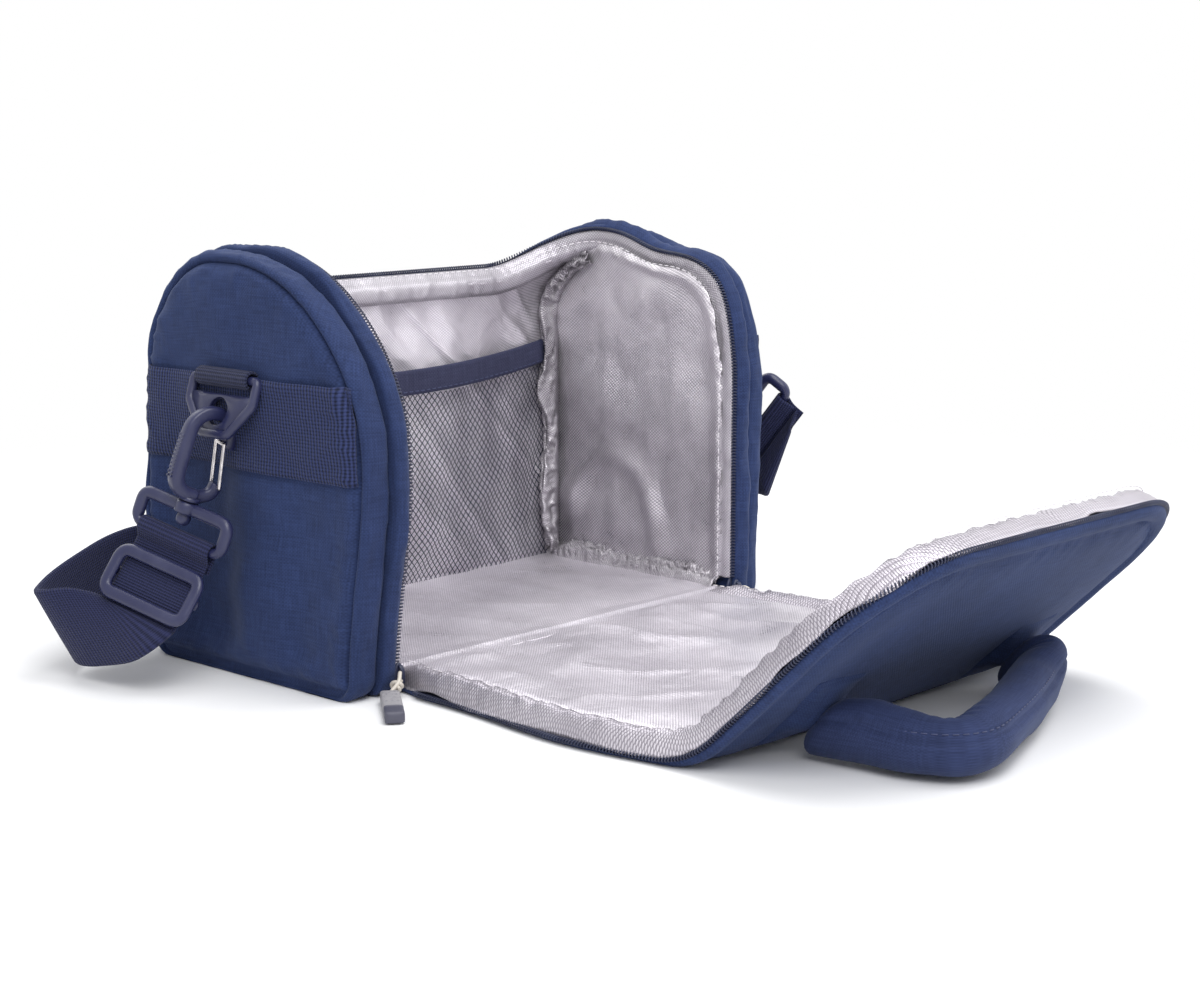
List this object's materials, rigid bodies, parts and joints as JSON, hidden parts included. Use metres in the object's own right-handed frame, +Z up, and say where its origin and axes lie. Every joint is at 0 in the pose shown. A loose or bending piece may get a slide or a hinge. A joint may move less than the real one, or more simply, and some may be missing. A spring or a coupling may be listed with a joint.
{
  "type": "vaccine carrier",
  "caption": "Soft insulated carrier bag: arched foil-lined body, zipped front flap folding over the top, padded handle and webbing shoulder strap on swivel hooks.",
  "frame": {"origin": "centre of the base panel, on the ground plane", "axes": "+X towards the right end as seen from the open front, -Y out of the opening, +Z up"},
  "size_m": [0.3738, 0.4058, 0.178],
  "materials": {
    "navy_cloth": "plain woven polyester, matt",
    "foam": "closed-cell foam",
    "silver_foil": "crinkled metallised film with a fine diagonal weave",
    "zip_coil": "nylon coil on woven tape",
    "board": "plain",
    "mesh": "open net",
    "binding": "ribbed tape",
    "webbing": "ribbed weave",
    "gate_wire": "bright wire",
    "dark_plastic": "satin moulding",
    "slider_metal": "cream enamel",
    "pull_cord": "braided cord",
    "pull_tab": "moulded, ridged"
  },
  "bodies": {
    "bag": {"band_left": "navy_cloth", "band_right": "navy_cloth", "cap_band_left": "webbing", "cap_band_right": "webbing", "cap_pad_left": "foam", "cap_pad_right": "foam", "end_cap_left": "navy_cloth", "end_cap_right": "navy_cloth", "foam_back": "foam", "foam_base": "foam", "foam_end_left": "foam", "foam_end_right": "foam", "lining_back": "silver_foil", "lining_end_left": "silver_foil", "lining_end_right": "silver_foil", "lining_floor": "silver_foil", "ring_tab_left": "webbing", "ring_tab_right": "webbing", "shell_back": "navy_cloth", "shell_base": "navy_cloth", "base_board": "board", "zip_coil_body": "zip_coil", "mesh_pocket": "mesh", "pocket_binding": "binding", "shoulder_strap": "webbing"},
    "flap_front": {"flap_front_lining": "silver_foil", "flap_front_foam": "foam", "flap_front_shell": "navy_cloth", "zip_coil_flap_front": "zip_coil"},
    "flap_top": {"flap_top_lining": "silver_foil", "flap_top_foam": "foam", "flap_top_shell": "navy_cloth", "zip_coil_flap_top": "zip_coil", "handle_patches": "navy_cloth"},
    "handle": {"handle_grip": "navy_cloth"},
    "slider_left": {"slider_left": "slider_metal"},
    "pull_left": {"pull_loop_left": "pull_cord", "pull_tab_left": "pull_tab"},
    "ring_left": {"ring_left": "dark_plastic"},
    "hook_left": {"hook_left": "dark_plastic"},
    "gate_left": {"hook_gate_left": "gate_wire"},
    "swivel_left": {"swivel_loop_left": "dark_plastic", "strap_tail_left": "webbing"},
    "slider_right": {"slider_right": "slider_metal"},
    "pull_right": {"pull_loop_right": "pull_cord", "pull_tab_right": "pull_tab"},
    "ring_right": {"ring_right": "dark_plastic"},
    "hook_right": {"hook_right": "dark_plastic"},
    "gate_right": {"hook_gate_right": "gate_wire"},
    "swivel_right": {"swivel_loop_right": "dark_plastic", "strap_tail_right": "webbing"},
    "adjuster": {"slide_adjuster": "dark_plastic"}
  },
  "joints": [
    {"name": "flap_hinge", "type": "hinge", "parent": "bag", "child": "flap_front", "pos_m": [0, -0.059, 0.008], "axis": [-1, 0, 0], "range_deg": [0, 90]},
    {"name": "flap_fold", "type": "hinge", "parent": "flap_front", "child": "flap_top", "pos_m": [0, -0.221, 0.008], "axis": [-1, 0, 0], "range_deg": [0, 46]},
    {"name": "handle_swing", "type": "hinge", "parent": "flap_top", "child": "handle", "pos_m": [0, -0.25387, 0.01139], "axis": [-1, 0, 0], "range_deg": [-100, 40]},
    {"name": "slider_left_run", "type": "slide", "parent": "bag", "child": "slider_left", "axis": [0, 0, 1], "range_m": [0, 0.095]},
    {"name": "pull_left_swing", "type": "hinge", "parent": "slider_left", "child": "pull_left", "pos_m": [-0.1082, -0.0715, 0.0085], "axis": [-0.7828, 0.6222, 0], "range_deg": [0, 80]},
    {"name": "ring_left_swing", "type": "hinge", "parent": "bag", "child": "ring_left", "pos_m": [-0.1398, -0.0023, 0.1275], "axis": [0, 1, 0], "range_deg": [0, 45], "deforming": ["shoulder_strap"]},
    {"name": "hook_left_swing", "type": "hinge", "parent": "ring_left", "child": "hook_left", "pos_m": [-0.14413, -0.0023, 0.11419], "axis": [0.9511, 0, -0.309], "range_deg": [-12, 12], "deforming": ["shoulder_strap"]},
    {"name": "gate_left_spring", "type": "hinge", "parent": "hook_left", "child": "gate_left", "pos_m": [-0.14411, 0.00171, 0.08291], "axis": [-0.2383, -0.9631, -0.1249], "range_deg": [0, 10], "stiffness_Nm_per_rad": 0.01},
    {"name": "swivel_left_turn", "type": "hinge", "parent": "hook_left", "child": "swivel_left", "pos_m": [-0.1558, 0.00564, 0.07495], "axis": [0.2685, -0.1889, 0.9446], "range_deg": [-25, 25], "deforming": ["shoulder_strap"]},
    {"name": "slider_right_run", "type": "slide", "parent": "bag", "child": "slider_right", "axis": [0, 0, 1], "range_m": [0, 0.095]},
    {"name": "pull_right_swing", "type": "hinge", "parent": "slider_right", "child": "pull_right", "pos_m": [0.1082, -0.0715, 0.0085], "axis": [-0.9927, -0.1203, 0], "range_deg": [0, 80]},
    {"name": "ring_right_swing", "type": "hinge", "parent": "bag", "child": "ring_right", "pos_m": [0.1398, -0.0023, 0.1275], "axis": [0, -1, 0], "range_deg": [0, 45], "deforming": ["shoulder_strap"]},
    {"name": "hook_right_swing", "type": "hinge", "parent": "ring_right", "child": "hook_right", "pos_m": [0.14413, -0.0023, 0.11419], "axis": [0.9511, 0, 0.309], "range_deg": [-12, 12], "deforming": ["shoulder_strap"]},
    {"name": "gate_right_spring", "type": "hinge", "parent": "hook_right", "child": "gate_right", "pos_m": [0.16263, -0.02066, 0.09648], "axis": [0.126, -0.6111, 0.7815], "range_deg": [0, 10], "stiffness_Nm_per_rad": 0.01},
    {"name": "swivel_right_turn", "type": "hinge", "parent": "hook_right", "child": "swivel_right", "pos_m": [0.15791, -0.03196, 0.0884], "axis": [-0.3414, 0.7129, 0.6125], "range_deg": [-25, 25], "deforming": ["shoulder_strap"]},
    {"name": "adjuster_slide", "type": "slide", "parent": "swivel_left", "child": "adjuster", "axis": [0.5309, -0.1001, 0.8415], "range_m": [-0.001, 0.003]}
  ]
}
